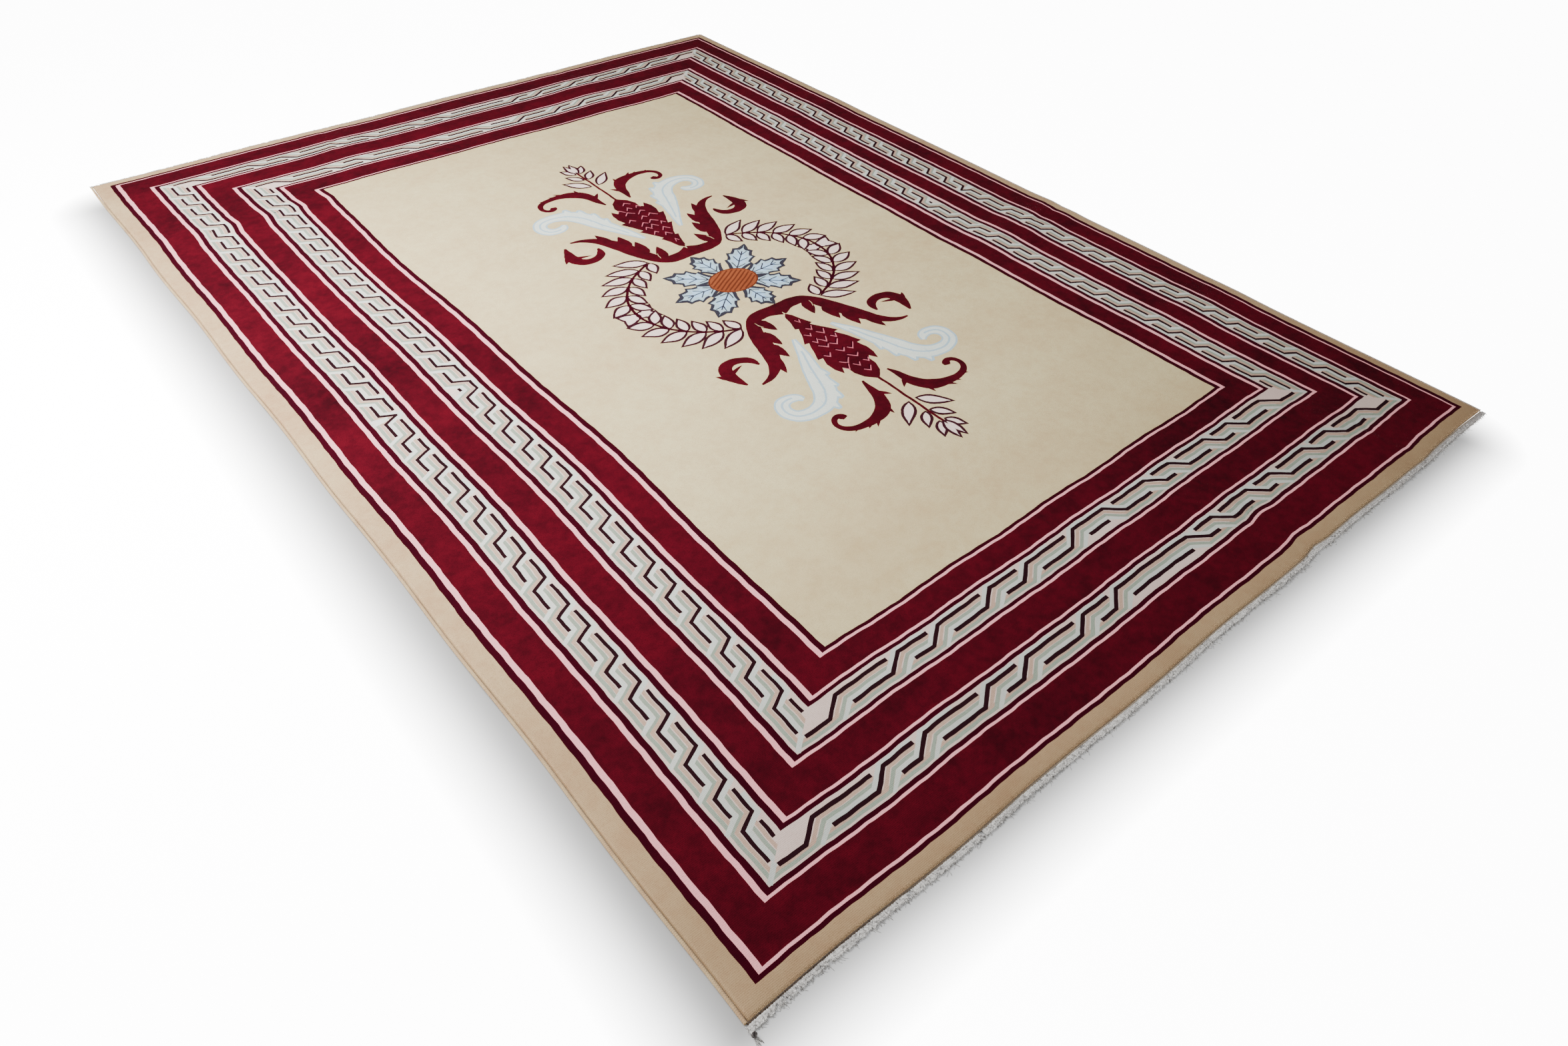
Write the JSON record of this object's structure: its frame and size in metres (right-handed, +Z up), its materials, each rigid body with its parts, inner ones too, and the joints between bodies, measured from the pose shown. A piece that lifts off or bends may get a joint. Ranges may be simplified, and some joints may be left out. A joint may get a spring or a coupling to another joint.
{
  "type": "oushak rug",
  "caption": "Rectangular hand-knotted wool rug with overcast long edges, flat-woven ends and a short fringe, lying flat.",
  "frame": {"origin": "on the floor, under the middle of the knotted pile", "axes": "+Y along the length, towards the far end; +X across the width; +Z up, out of the pile"},
  "size_m": [2.6219, 3.7195, 0.0172],
  "materials": {
    "pile": "short wool pile, matte",
    "selvedge": "wool overcasting, matte",
    "warp": "flat-woven cotton, matte"
  },
  "bodies": {
    "root": {"rug_body": "pile", "selvedge_left": "selvedge", "selvedge_right": "selvedge", "fringe_near": "warp", "fringe_far": "warp"}
  },
  "joints": []
}
